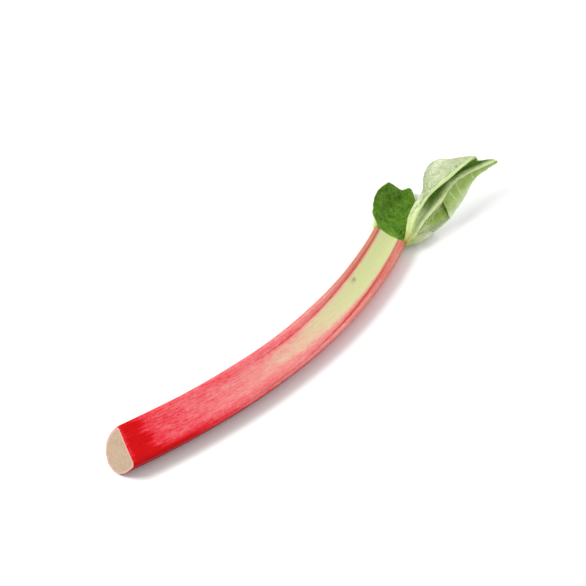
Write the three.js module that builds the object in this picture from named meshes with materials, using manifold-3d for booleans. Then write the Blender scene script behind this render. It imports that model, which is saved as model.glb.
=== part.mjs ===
// A rhubarb stalk lying on its rounded back: the fleshy leaf stalk with its
// slanting cut end, and the trimmed stump of its leaf.
//
// Units are millimetres and +Z is up. The stalk runs along +X from the cut end
// to the leaf, and curves sideways. The origin is the middle of the bounding
// box, on the surface that the stalk lies on.
import * as THREE from 'three';
import { mergeVertices } from 'three/addons/utils/BufferGeometryUtils.js';
import Module from 'manifold-3d';

const wasm = await Module();
wasm.setup();

// ---------- driving dimensions ----------
const LENGTH = 330;              // leaf stalk, measured along its curve
const WIDTH_CUT = 35.6;          // across the flat face at the cut end
const WIDTH_LEAF = 32.3;         // across the flat face where the leaf begins
const THICKNESS_RATIO = 0.62;    // thickness over width
const ROLL = 20;                 // degrees the section leans, right margin down
const HEADING = [-17.9, 22.8, 14.2];   // degrees: at the cut, plus the bend's two terms
const FLATTENING = 0.35;         // how far the flesh settles where it lies
const CUT_SLANT = 0.62;          // the back runs on this far, per mm below the face
const CUT_SKEW = -0.10;          // the cut's lean across the width
const CHANNEL_DEPTH = [0.2, 1.5];      // hollow along the face, at the cut and at the leaf
const MARGIN_RIDGE = 0.8;        // where the rounded margins crest, in half widths
const MARGIN_DROP = 1.6;         // from that crest to the widest point
const BACK_ROUNDNESS = 0.8;      // exponent of the back's outline, 1 is an ellipse
const BACK_RIBS = 7;             // strands that show along the back
const BACK_RIB_DEPTH = 0.35;

const GAP = 0.3;                 // clearance between stalk and leaf
const BLADE = 1.8;               // leaf blade's thickness, and where it leaves the stalk
const BLADE_ROOT = 0.4;
const SLIVER = 0.06;             // joins leave no detail finer than this

const STALK_SIDES = 36;
const STALK_STEPS = 44;

const rad = THREE.MathUtils.degToRad;
const lerp = THREE.MathUtils.lerp;

// ---------- the stalk's curve ----------
// Heading, in radians, a share u of the way from the cut to the leaf.
const heading = (u) => rad(HEADING[0] + HEADING[1] * u + HEADING[2] * u * u);

// Point of the curve, in plan, a share u of the way along, by the midpoint rule.
function planPoint(u) {
  const steps = Math.max(1, Math.ceil(64 * u));
  const ds = LENGTH * u / steps;
  const point = new THREE.Vector2();
  for (let i = 0; i < steps; i++) {
    const h = heading(u * (i + 0.5) / steps);
    point.x += ds * Math.cos(h);
    point.y += ds * Math.sin(h);
  }
  return point;
}

// ---------- the stalk's section ----------
// Outline point at angle phi: the back from 0 to pi, the face from pi to 2 pi.
// x is across, towards the right margin, and y is up out of the face.
function outline(phi, u) {
  const width = lerp(WIDTH_CUT, WIDTH_LEAF, u);
  const thickness = THICKNESS_RATIO * width;
  const share = Math.cos(phi);
  if (phi <= Math.PI) {
    const round = Math.pow(Math.max(Math.sin(phi), 0), BACK_ROUNDNESS);
    const strands = BACK_RIB_DEPTH * Math.cos(2 * BACK_RIBS * phi) * Math.sin(phi);
    return [width / 2 * share, -MARGIN_DROP - (thickness - MARGIN_DROP) * round + strands];
  }
  const out = Math.abs(share);
  if (out > MARGIN_RIDGE) {
    const fall = (out - MARGIN_RIDGE) / (1 - MARGIN_RIDGE);
    return [width / 2 * share, -MARGIN_DROP * fall * fall];
  }
  const hollow = (1 - (out / MARGIN_RIDGE) ** 2) ** 2;
  return [width / 2 * share, -lerp(...CHANNEL_DEPTH, u) * hollow];
}

// How far the section's lowest point lies below the face's middle, rolled.
function depthBelow(u) {
  let low = 0;
  for (let i = 0; i <= 60; i++) {
    const [x, y] = outline(Math.PI * i / 60, u);
    low = Math.max(low, x * Math.sin(rad(ROLL)) - y * Math.cos(rad(ROLL)));
  }
  return low;
}

// Places a section point (x across, y up) a share u along the lying stalk.
function onStalk(u, x, y, plan, low) {
  const h = heading(u);
  const across = x * Math.cos(rad(ROLL)) + y * Math.sin(rad(ROLL));
  const up = y * Math.cos(rad(ROLL)) - x * Math.sin(rad(ROLL));
  return new THREE.Vector3(
    plan.x + across * Math.sin(h),
    plan.y - across * Math.cos(h),
    Math.max(low - FLATTENING + up, 0));
}

// ---------- meshes and solids ----------
// A closed tube: CylinderGeometry whose rings are placed by place(angle, along).
// reach is 0 at the middle of an end and 1 on the rim.
function tube(sides, steps, place) {
  const geometry = new THREE.CylinderGeometry(1, 1, 1, sides, steps);
  const position = geometry.attributes.position;
  for (let i = 0; i < position.count; i++) {
    const x = position.getX(i);
    const z = position.getZ(i);
    const reach = Math.min(Math.hypot(x, z), 1);
    const angle = (Math.atan2(z, x) + 2 * Math.PI) % (2 * Math.PI);
    const p = place(angle, 0.5 - position.getY(i), reach);
    position.setXYZ(i, p.x, p.y, p.z);
  }
  return closed(geometry);
}

// Keeps only positions and joins the vertices that coincide.
function closed(geometry) {
  geometry.deleteAttribute('normal');
  geometry.deleteAttribute('uv');
  return mergeVertices(geometry, 1e-3);
}

function toSolid(geometry) {
  const solid = new wasm.Manifold(new wasm.Mesh({
    numProp: 3,
    vertProperties: new Float32Array(geometry.attributes.position.array),
    triVerts: new Uint32Array(geometry.index.array),
  }));
  return solid;
}

function toGeometry(solid) {
  const mesh = solid.getMesh();
  const geometry = new THREE.BufferGeometry();
  geometry.setAttribute('position', new THREE.BufferAttribute(mesh.vertProperties, 3));
  geometry.setIndex(new THREE.BufferAttribute(mesh.triVerts, 1));
  return geometry;
}

// The largest shell of a solid, without the pockets closed up inside it.
function outerShell(solid) {
  return solid.decompose().reduce((a, b) => (b.volume() > a.volume() ? b : a));
}

// ---------- stalk ----------
function stalkGeometry() {
  return tube(STALK_SIDES, STALK_STEPS, (angle, u, reach) => {
    const [x, y] = outline(angle, u);
    const middle = -0.45 * THICKNESS_RATIO * lerp(WIDTH_CUT, WIDTH_LEAF, u);
    const sx = x * reach;
    const sy = lerp(middle, y, reach);
    const point = onStalk(u, sx, sy, planPoint(u), depthBelow(u));
    if (u < 1e-6) {
      const slide = CUT_SKEW * sx + CUT_SLANT * sy;
      point.x += slide * Math.cos(heading(0));
      point.y += slide * Math.sin(heading(0));
    }
    return point;
  });
}

// ---------- leaf ----------
// The leaf is a trough that goes on from the stalk. Its own axes start at the
// middle of the stalk's end: forward along the stalk, right, and up from the
// surface. Each line below runs from the stalk's end out to the trimmed edge,
// in five points, and the blade spans them from the right margin to the left.
const LEAF_LINES = {
  rightMargin: [[0, 12, 16.5], [25, 9, 28], [40, 15, 43], [54, 12, 52], [76, 13, 54]],
  rightFlap: [[0, 13.2, 15.6], [22, 11.5, 27], [37, 17, 39.5], [57, 18, 47.5], [84, 27.5, 52]],
  upperRib: [[0, 14.2, 14.6], [22, 14, 26.5], [43, 19, 39], [72, 33, 44], [108, 45.5, 42]],
  valley: [[0, 14.6, 13.2], [23, 16, 23], [45, 18, 32.5], [74, 28, 37.5], [112, 51, 36]],
  lowerRib: [[0, 14.6, 11.8], [26, 22, 20], [50, 30.5, 28.5], [77, 37, 34.5], [120, 64, 32]],
  panel: [[0, 14.2, 10.4], [17, 19.5, 16.5], [34, 26, 21], [50, 31, 23.5], [66, 36, 25]],
  crease: [[0, 13, 9.2], [12, 18, 13], [24, 22.5, 15], [37, 30, 16], [52, 38, 17]],
  lobe: [[0, 11, 9.4], [14, 19, 10.5], [26, 25, 10], [38, 32.5, 9.7], [50, 40, 9.5]],
  shortRib: [[0, 8, 11.5], [9, 14, 9.5], [16, 18.5, 8], [23, 23.5, 7], [30, 28, 6.5]],
  rightFloor: [[0, 4, 16], [14, 7, 11], [30, 9, 7.5], [46, 9, 6], [60, 8, 5.5]],
  midrib: [[0, -2, 19.2], [20, -2, 12.5], [40, -3, 9], [60, -4.5, 8], [80, -6, 8]],
  leftFloor: [[0, -8, 21.4], [17, -10, 15], [34, -13, 12], [52, -14, 12], [70, -13, 14]],
  leftRib: [[0, -12, 23], [15, -16.5, 20], [30, -20, 20], [46, -21.5, 22.5], [62, -20, 26]],
  leftMargin: [[0, -14.5, 24], [10, -20, 26], [22, -25, 29], [38, -26.5, 31], [58, -17, 33]],
};

// The lappet that hangs outside the lower rib: from the rib to its own edge.
const LAPPET_LINES = {
  hinge: [[52, 31, 29], [66, 32, 32.5], [77, 37, 34.5], [98, 50, 34], [120, 64, 32]],
  middle: [[49, 37, 21], [62, 40, 25], [74, 43.5, 27.5], [94, 51.5, 31], [119.5, 64.5, 31]],
  edge: [[48, 41, 12], [60, 45, 17.5], [72, 48, 21.5], [92, 51.5, 28.5], [119, 64.5, 30]],
};

// Each rib: its line, how far below the blade it starts and ends, and its
// half width and half height at both ends.
const RIBS = [
  { line: 'upperRib', sink: [2.5, 0.4], across: [3.6, 1.5], deep: [3.6, 1.6] },
  { line: 'lowerRib', sink: [3, 0.4], across: [3.4, 1.5], deep: [3.4, 1.6] },
  { line: 'shortRib', sink: [7, 1.2], across: [6.5, 5], deep: [6.5, 4.6] },
  { line: 'midrib', sink: [9.5, 3], across: [9, 3], deep: [8.5, 3] },
  { line: 'leftRib', sink: [5, 1], across: [5.5, 1.6], deep: [6, 1.6] },
];
const RIB_SIDES = 8;
const RIB_STEPS = 10;

const curve = (points) =>
  new THREE.CatmullRomCurve3(points.map((p) => new THREE.Vector3(...p)), false, 'centripetal');

// Blade point: across runs over the lines, along from the stalk to the edge.
function bladePoint(curves, across, along) {
  const rung = curves.map((c) => c.getPoint(along));
  return new THREE.CatmullRomCurve3(rung, false, 'catmullrom', 0.5).getPoint(across);
}

function bladeNormal(curves, across, along) {
  const d = 0.01;
  const at = (p, q) => bladePoint(curves, THREE.MathUtils.clamp(p, 0, 1), THREE.MathUtils.clamp(q, 0, 1));
  const a = at(across + d, along).sub(at(across - d, along));
  const b = at(across, along + d).sub(at(across, along - d));
  return a.cross(b).normalize();
}

// A thick sheet over the lines: BoxGeometry with one side for each face.
function sheetGeometry(lines, stepsAcross, stepsAlong) {
  const curves = Object.values(lines).map(curve);
  const geometry = new THREE.BoxGeometry(1, 1, 1, stepsAcross, stepsAlong, 1);
  const position = geometry.attributes.position;
  for (let i = 0; i < position.count; i++) {
    const across = position.getX(i) + 0.5;
    const along = position.getY(i) + 0.5;
    const p = bladePoint(curves, across, along);
    const thick = lerp(BLADE_ROOT, BLADE, THREE.MathUtils.smoothstep(along, 0, 0.35));
    p.addScaledVector(bladeNormal(curves, across, along), thick * position.getZ(i));
    position.setXYZ(i, p.x, p.y, p.z);
  }
  return closed(geometry);
}

function ribGeometry({ line, sink, across, deep }) {
  const path = curve(LEAF_LINES[line]);
  return tube(RIB_SIDES, RIB_STEPS, (angle, t, reach) => {
    const ease = Math.sqrt(t);
    const p = path.getPoint(t);
    const tangent = path.getTangent(t);
    const side = new THREE.Vector3(0, 0, 1).cross(tangent).normalize();
    const up = tangent.clone().cross(side);
    p.addScaledVector(up, -lerp(...sink, ease));
    p.addScaledVector(side, -reach * lerp(...across, ease) * Math.cos(angle));
    p.addScaledVector(up, -reach * lerp(...deep, ease) * Math.sin(angle));
    return p;
  });
}

// The solid root of the leaf, where the stalk's flesh runs out into the ribs.
function rootGeometry() {
  const reachOut = 26;
  return tube(20, 6, (angle, t, reach) => {
    const [x, y] = outline(2 * Math.PI - angle, 1);
    const thin = lerp(0.97, 0.35, t);
    const tilt = rad(lerp(ROLL, 6, t));
    const sx = reach * x * 0.98;
    const sy = lerp(-0.4 * THICKNESS_RATIO * WIDTH_LEAF, y, reach) * thin - 0.4;
    const top = lerp(depthBelow(1) - FLATTENING, 9.5, t);
    return new THREE.Vector3(
      reachOut * t,
      sx * Math.cos(tilt) + sy * Math.sin(tilt) + 3 * t,
      top + sy * Math.cos(tilt) - sx * Math.sin(tilt));
  });
}

function leafGeometry() {
  const pieces = [
    rootGeometry(),
    sheetGeometry(LEAF_LINES, 26, 10),
    sheetGeometry(LAPPET_LINES, 4, 8),
    ...RIBS.map(ribGeometry),
  ].map(toSolid);
  // The leaf starts just beyond the stalk and lies on the surface.
  const span = 200;
  const room = closed(new THREE.BoxGeometry(span, span, span)
    .translate(span / 2 + GAP, 0, span / 2));
  const joined = wasm.Manifold.union(pieces).intersect(toSolid(room));
  return toGeometry(outerShell(joined).asOriginal().simplify(SLIVER));
}

// Moves the leaf from its own axes to the stalk's end.
function seatLeaf(geometry) {
  const end = planPoint(1);
  const h = heading(1);
  const forward = new THREE.Vector3(Math.cos(h), Math.sin(h), 0);
  const right = new THREE.Vector3(Math.sin(h), -Math.cos(h), 0);
  // Forward, right and up are a left-handed set, so each triangle is turned over.
  const position = geometry.attributes.position;
  for (let i = 0; i < position.count; i++) {
    const p = new THREE.Vector3(end.x, end.y, position.getZ(i))
      .addScaledVector(forward, position.getX(i))
      .addScaledVector(right, position.getY(i));
    position.setXYZ(i, p.x, p.y, p.z);
  }
  const index = geometry.index;
  for (let i = 0; i < index.count; i += 3) {
    const second = index.getX(i + 1);
    index.setX(i + 1, index.getX(i + 2));
    index.setX(i + 2, second);
  }
  return geometry;
}

// ---------- assembly ----------
function mesh(name, geometry, colour, roughness) {
  const material = new THREE.MeshStandardMaterial({ color: colour, roughness, metalness: 0 });
  const result = new THREE.Mesh(geometry, material);
  result.name = name;
  return result;
}

const rhubarb = new THREE.Group();
rhubarb.name = 'rhubarb_stalk';
rhubarb.add(
  mesh('stalk', stalkGeometry(), 0xd6404a, 0.35),
  mesh('leaf', seatLeaf(leafGeometry()), 0x9dbb63, 0.55));

const box = new THREE.Box3().setFromObject(rhubarb);
rhubarb.position.set(-(box.min.x + box.max.x) / 2, -(box.min.y + box.max.y) / 2, -box.min.z);

export default rhubarb;
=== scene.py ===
"""A rhubarb stalk lying on its rounded back, on a pale table.

The stalk and its leaf stump are made from straight blanks: a ringed cylinder
for the stalk and ruled sheets for the leaf. Each blank is cut and extruded with
Blender's own operators, and then every vertex is moved to its place on the real
form. Sizes inside the classes are in millimetres, as in the solid model; the
meshes are in metres.
"""

import logging
import math
from dataclasses import dataclass, field
from enum import Enum

import bpy
import numpy as np
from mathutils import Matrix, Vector

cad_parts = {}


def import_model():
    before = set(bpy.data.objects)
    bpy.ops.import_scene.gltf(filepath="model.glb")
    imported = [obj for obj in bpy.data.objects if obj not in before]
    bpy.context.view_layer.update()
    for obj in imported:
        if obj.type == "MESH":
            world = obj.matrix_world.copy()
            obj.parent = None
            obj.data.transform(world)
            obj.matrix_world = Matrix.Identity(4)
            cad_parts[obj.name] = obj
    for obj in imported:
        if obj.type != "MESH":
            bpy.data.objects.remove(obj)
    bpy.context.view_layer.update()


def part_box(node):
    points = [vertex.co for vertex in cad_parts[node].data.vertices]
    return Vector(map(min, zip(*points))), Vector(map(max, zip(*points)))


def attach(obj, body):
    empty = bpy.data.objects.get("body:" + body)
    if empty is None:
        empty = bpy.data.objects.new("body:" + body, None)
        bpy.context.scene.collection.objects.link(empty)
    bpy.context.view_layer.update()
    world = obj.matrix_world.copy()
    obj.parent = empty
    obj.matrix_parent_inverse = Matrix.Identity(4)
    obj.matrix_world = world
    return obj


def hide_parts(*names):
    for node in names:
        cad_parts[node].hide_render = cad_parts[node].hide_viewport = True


MM = 0.001
Array = np.ndarray
Piece = bpy.types.Object
Socket = bpy.types.NodeSocket
Triple = tuple[float, float, float]
Points = tuple[Triple, ...]
Rows = tuple[tuple[float, ...], ...]
Stops = tuple[tuple[float, str], ...]

logging.basicConfig(level=logging.INFO, format="%(name)s: %(message)s")
log = logging.getLogger("rhubarb")


# ---------- small mathematics ----------
def smooth(value: Array, low: float, high: float) -> Array:
    """Eases from 0 at low to 1 at high."""
    t = np.clip((np.asarray(value, float) - low) / (high - low), 0.0, 1.0)
    return t * t * (3.0 - 2.0 * t)


def mix(a: Array, b: Array, share: Array) -> Array:
    """Blends a into b by share."""
    return a + (b - a) * share


def hump(value: Array, middle: float, width: float) -> Array:
    """A rounded bump of height 1 at middle."""
    return np.exp(-(((value - middle) / width) ** 2))


def read_rows(rows: Rows, at: Array) -> list[Array]:
    """Reads every column of a table at places that its first column counts."""
    places, *columns = zip(*rows)
    return [np.interp(at, places, column) for column in columns]


def ripple(x: Array, y: Array, seed: float) -> Array:
    """Adds up uneven swells with no one direction, the same in each run.

    Args:
        x: places one way.
        y: places the other way.
        seed: picks the pattern.

    Returns:
        Heights between about -1 and 1.
    """
    waves = 7
    total = np.zeros(np.broadcast(x, y).shape)
    for k in range(waves):
        turn = 2.4 * k + seed
        pace = 0.7 + 0.13 * k
        wave = pace * (x * math.cos(turn) + y * math.sin(turn))
        total = total + np.sin(wave + 1.9 * k * seed + 0.8 * np.sin(0.6 * x - 0.5 * y + k))
    return total / (waves / 2)


def through(points: Array, at: Array) -> Array:
    """Runs a smooth curve through points and reads it.

    Args:
        points: the curve's points along the first axis.
        at: places on the curve, counted in points.

    Returns:
        The curve's value at each place.
    """
    last = len(points) - 1
    i = np.clip(np.floor(at).astype(int), 0, last - 1)
    t = (at - i).reshape(-1, *([1] * (points.ndim - 1)))
    before = np.concatenate([[2 * points[0] - points[1]], points])
    after = np.concatenate([points, [2 * points[-1] - points[-2]]])
    p0, p1, p2, p3 = before[i], points[i], points[i + 1], after[i + 2]
    return 0.5 * (
        2 * p1
        + (p2 - p0) * t
        + (2 * p0 - 5 * p1 + 4 * p2 - p3) * t**2
        + (3 * p1 - p0 - 3 * p2 + p3) * t**3
    )


# ---------- the stalk's form ----------
# Where a margin's crest runs, as a share of the half width.
CREST = 0.86

# Share of the length, then the places of the line inside the left margin and of the one
# inside the right margin, as shares of the half width.
GROOVE_LINES: Rows = (
    (0.30, 0.50, 0.88),
    (0.50, 0.51, 0.86),
    (0.65, 0.57, 0.76),
    (0.75, 0.66, 0.67),
    (0.90, 0.72, 0.55),
    (1.00, 0.74, 0.51),
)


def groove(share: Array, along: Array, width: float) -> Array:
    """The line inside each margin, drifting outwards on the left and inwards on the right."""
    left, right = read_rows(GROOVE_LINES, along)
    return hump(share, -left, width) + hump(share, right, width)


@dataclass(frozen=True)
class Strand:
    """A wave across the surface, made by the strands that run along the stalk."""

    height: float
    count: float
    phase: float = 0.0
    drift: float = 0.0

    def turn(self, across: Array, along: Array) -> Array:
        """The wave's angle, which drifts a little along the stalk."""
        return self.count * across + self.phase + self.drift * along


@dataclass(frozen=True)
class Section:
    """The stalk's D-shaped section: a channelled face over a round back."""

    width_cut: float = 35.6
    width_leaf: float = 32.3
    thickness_ratio: float = 0.62
    margin_drop: float = 1.6
    channel_rim: float = 0.8
    channel_cut: float = 0.2
    channel_leaf: float = 1.5
    back_roundness: float = 0.72
    groove_depth: float = 0.45
    groove_width: float = 0.045
    crest_height: float = 0.16
    crest_width: float = 0.06
    face_strands: tuple[Strand, ...] = (Strand(0.07, 46, phase=1.1), Strand(0.05, 83, drift=4))
    back_strands: tuple[Strand, ...] = (
        Strand(0.26, 14),
        Strand(0.18, 37, phase=1.3),
        Strand(0.08, 61, drift=5),
    )

    def width(self, along: Array) -> Array:
        """Width across the face, with the slow unevenness of growth."""
        even = mix(self.width_cut, self.width_leaf, along)
        return even * (1 + 0.006 * np.sin(9.0 * along + 0.6) + 0.004 * np.sin(23.0 * along))

    def thickness(self, along: Array) -> Array:
        """Thickness from the margins' crest to the back."""
        return self.thickness_ratio * self.width(along)

    def face(self, share: Array, along: Array) -> Array:
        """Works out the height of the face.

        Args:
            share: place across, -1 at the left margin to 1 at the right.
            along: share of the way from the cut to the leaf.

        Returns:
            Heights over the level of the channel's rim.
        """
        out = np.abs(share)
        depth = mix(self.channel_cut, self.channel_leaf, along)
        hollow = -depth * (1 - np.minimum(out / self.channel_rim, 1) ** 2) ** 2
        over = np.clip((out - self.channel_rim) / (1 - self.channel_rim), 0, 1)
        fall = -self.margin_drop * over**2
        grown = smooth(along, 0.30, 0.55)
        line = -self.groove_depth * groove(share, along, self.groove_width)
        seam = line + self.crest_height * hump(out, CREST, self.crest_width)
        strands = sum(s.height * np.sin(s.turn(share, along)) for s in self.face_strands)
        return hollow + fall + grown * seam + strands * (1 - smooth(out, 0.85, 1.0))

    def back(self, angle: Array, along: Array) -> Array:
        """Works out the height of the back.

        Args:
            angle: place round the back, 0 at the right margin and pi at the left.
            along: share of the way from the cut to the leaf.

        Returns:
            Heights over the level of the channel's rim, so all below 0.
        """
        rise = np.clip(np.sin(angle), 0, 1)
        depth = self.thickness(along) - self.margin_drop
        strands = sum(s.height * np.cos(s.turn(angle, along)) for s in self.back_strands)
        return -self.margin_drop - depth * rise**self.back_roundness + strands * rise

    def outline(self, angle: Array, along: Array) -> tuple[Array, Array]:
        """Outline point: the back from 0 to pi, then the face back to the right.

        Args:
            angle: place round the outline, in radians.
            along: share of the way from the cut to the leaf.

        Returns:
            Distance across, towards the right margin, and height.
        """
        share = np.cos(angle)
        up = np.where(angle <= math.pi, self.back(angle, along), self.face(share, along))
        return self.width(along) / 2 * share, up


@dataclass
class Lie:
    """How the stalk lies: its sideways bend, its lean and where it rests.

    The heading, in degrees, is the first number of bend at the cut, and the other
    two times the share of the length and its square are added to it on the way.
    """

    section: Section
    length: float = 330.0
    roll: float = math.radians(20)
    bend: Triple = (-17.9, 22.8, 14.2)
    settled: float = 0.35
    overrun: tuple[float, float] = (-0.08, 1.02)
    samples: int = 2201
    start: Array = field(default_factory=lambda: np.zeros(2))

    def __post_init__(self) -> None:
        """Works the curve out once, a little past both ends."""
        self.steps = np.linspace(*self.overrun, self.samples)
        turn = np.clip(self.steps, 0, 1)
        degrees = self.bend[0] + self.bend[1] * turn + self.bend[2] * turn**2
        self.headings = np.radians(degrees)
        ds = self.length * np.gradient(self.steps)
        zero = np.searchsorted(self.steps, 0.0)
        self.plan = np.stack(
            [np.cumsum(np.cos(self.headings) * ds), np.cumsum(np.sin(self.headings) * ds)], 1
        )
        self.plan -= self.plan[zero]
        shares = np.linspace(0, 1, 41)
        angle = np.linspace(0, math.pi, 61)[:, None]
        across, up = self.section.outline(angle + 0 * shares, shares + 0 * angle)
        low = across * math.sin(self.roll) - up * math.cos(self.roll)
        self.depths = np.interp(self.steps, shares, low.max(axis=0))

    def read(self, along: Array, table: Array) -> Array:
        """Reads one of the curve's tables at a share of the length."""
        return np.interp(along, self.steps, table)

    def place(self, along: Array, across: Array, up: Array) -> Array:
        """Places section points on the lying stalk.

        Args:
            along: share of the length of each point.
            across: distance towards the right margin.
            up: height out of the face.

        Returns:
            One row of x, y, z for each point.
        """
        heading = self.read(along, self.headings)
        right = across * math.cos(self.roll) + up * math.sin(self.roll)
        rise = up * math.cos(self.roll) - across * math.sin(self.roll)
        x = self.start[0] + self.read(along, self.plan[:, 0]) + right * np.sin(heading)
        y = self.start[1] + self.read(along, self.plan[:, 1]) - right * np.cos(heading)
        z = self.read(along, self.depths) - self.settled + rise
        return np.stack([x, y, np.maximum(z, 0)], -1)

    def leaf_axes(self) -> tuple[Array, Array, Array]:
        """Works out the leaf's own axes.

        Returns:
            Where the leaf starts, then the directions forward and right.
        """
        heading = float(self.read(1.0, self.headings))
        end = self.start + [self.read(1.0, self.plan[:, 0]), self.read(1.0, self.plan[:, 1])]
        forward = np.array([math.cos(heading), math.sin(heading), 0])
        right = np.array([math.sin(heading), -math.cos(heading), 0])
        return np.array([end[0], end[1], 0]), forward, right


# ---------- blanks: what the operators make ----------
class Blank:
    """Straight stock, made with operators, that a piece is then shaped from."""

    FAR_CAP = (0.8, 0.4)

    @staticmethod
    def clear() -> None:
        """Leaves nothing selected, so that an operator acts on its own piece."""
        if bpy.context.object and bpy.context.object.mode != "OBJECT":
            bpy.ops.object.mode_set(mode="OBJECT")
        bpy.ops.object.select_all(action="DESELECT")

    @staticmethod
    def named(name: str) -> Piece:
        """Names the new primitive and puts its place into its mesh.

        Args:
            name: the piece's name.

        Returns:
            The new object, at the origin.
        """
        piece = bpy.context.object
        piece.name = piece.data.name = name
        bpy.ops.object.transform_apply(location=True)
        return piece

    @staticmethod
    def close() -> None:
        """Turns the faces of the piece in edit mode outwards and leaves edit mode."""
        bpy.ops.mesh.select_all(action="SELECT")
        bpy.ops.mesh.normals_make_consistent(inside=False)
        bpy.ops.object.mode_set(mode="OBJECT")

    @staticmethod
    def ringed_bar(name: str, sides: int, rings: int, near_cap: tuple[float, ...]) -> Piece:
        """Makes a closed bar of radius 1 from z 0 to 1, ringed along it and on its ends.

        Args:
            name: the piece's name.
            sides: vertices in each ring.
            rings: spans between rings along the bar.
            near_cap: radii of the rings on the near end, outermost first.

        Returns:
            The new object, in object mode.
        """
        Blank.clear()
        bpy.ops.mesh.primitive_cylinder_add(
            vertices=sides, radius=1, depth=1, end_fill_type="NOTHING", location=(0, 0, 0.5)
        )
        bar = Blank.named(name)
        mesh = bar.data
        bpy.ops.object.mode_set(mode="EDIT")
        bpy.ops.mesh.select_all(action="DESELECT")
        bpy.ops.mesh.select_mode(type="EDGE")
        bpy.ops.object.mode_set(mode="OBJECT")
        for edge in mesh.edges:
            a, b = (mesh.vertices[i].co.z for i in edge.vertices)
            edge.select = abs(a - b) > 0.5
        bpy.ops.object.mode_set(mode="EDIT")
        bpy.ops.mesh.subdivide(number_cuts=rings - 1)
        for height, reaches in ((0.0, near_cap), (1.0, Blank.FAR_CAP)):
            Blank.pick_ring(mesh, height)
            before = 1.0
            for reach in reaches:
                bpy.ops.mesh.extrude_edges_move()
                scale = reach / before
                bpy.ops.transform.resize(value=(scale, scale, 1), center_override=(0, 0, height))
                before = reach
            bpy.ops.mesh.merge(type="CENTER")
        Blank.close()
        return bar

    @staticmethod
    def pick_ring(mesh: bpy.types.Mesh, height: float) -> None:
        """Selects the open ring of edges at one height.

        Args:
            mesh: the bar's mesh, in edit mode.
            height: the ring's z.
        """
        bpy.ops.mesh.select_all(action="DESELECT")
        bpy.ops.object.mode_set(mode="OBJECT")
        for edge in mesh.edges:
            heights = [mesh.vertices[i].co.z for i in edge.vertices]
            edge.select = all(abs(z - height) < 1e-5 for z in heights)
        bpy.ops.object.mode_set(mode="EDIT")

    @staticmethod
    def slab(name: str, across: int, along: int) -> Piece:
        """Makes a closed slab: a ruled sheet from 0 to 1 both ways, raised from z 0 to 1.

        Args:
            name: the piece's name.
            across: spans along x.
            along: spans along y.

        Returns:
            The new object, in object mode.
        """
        Blank.clear()
        bpy.ops.mesh.primitive_grid_add(
            x_subdivisions=across, y_subdivisions=along, size=1, location=(0.5, 0.5, 0)
        )
        slab = Blank.named(name)
        bpy.ops.object.mode_set(mode="EDIT")
        bpy.ops.mesh.select_all(action="SELECT")
        bpy.ops.mesh.extrude_region_move(TRANSFORM_OT_translate={"value": (0, 0, 1)})
        Blank.close()
        return slab


def vertices_of(piece: Piece) -> Array:
    """Reads the piece's vertices.

    Args:
        piece: the object to read.

    Returns:
        One row of x, y, z for each vertex.
    """
    flat = np.empty(len(piece.data.vertices) * 3)
    piece.data.vertices.foreach_get("co", flat)
    return flat.reshape(-1, 3)


def move_vertices(piece: Piece, places: Array) -> None:
    """Puts every vertex at its place, given in metres."""
    piece.data.vertices.foreach_set("co", np.ascontiguousarray(places, np.float32).ravel())
    piece.data.update()


def paint(piece: Piece, name: str, values: Array) -> None:
    """Stores one number, or one vector, for each vertex.

    Args:
        piece: the object to paint.
        name: what a material reads the values by.
        values: a row for each vertex.
    """
    kind, key = ("FLOAT_VECTOR", "vector") if values.ndim == 2 else ("FLOAT", "value")
    layer = piece.data.attributes.new(name, kind, "POINT")
    layer.data.foreach_set(key, np.ascontiguousarray(values, np.float32).ravel())


def finish_surface(piece: Piece, material: bpy.types.Material) -> None:
    """Turns the faces outwards, shades them smooth and gives them their material.

    Args:
        piece: the shaped object.
        material: its finish.
    """
    Blank.clear()
    piece.select_set(True)
    bpy.context.view_layer.objects.active = piece
    bpy.ops.object.mode_set(mode="EDIT")
    bpy.ops.mesh.select_all(action="SELECT")
    bpy.ops.mesh.remove_doubles(threshold=1e-6)
    Blank.close()
    bpy.ops.object.shade_smooth_by_angle(angle=math.radians(50))
    piece.data.materials.clear()
    piece.data.materials.append(material)


# ---------- finishes ----------
def linear(code: str) -> tuple[float, float, float, float]:
    """Turns a colour such as "e65058" into the linear values that shaders use."""
    channels = [int(code[i : i + 2], 16) / 255 for i in (0, 2, 4)]
    return (*[c / 12.92 if c <= 0.04045 else ((c + 0.055) / 1.055) ** 2.4 for c in channels], 1)


@dataclass(frozen=True)
class Streaks:
    """An irregular pattern drawn out along the stalk, and how far it shifts the redness."""

    stretch: float
    scale: float
    detail: float
    shift: float
    rough: float = 0.55


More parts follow.
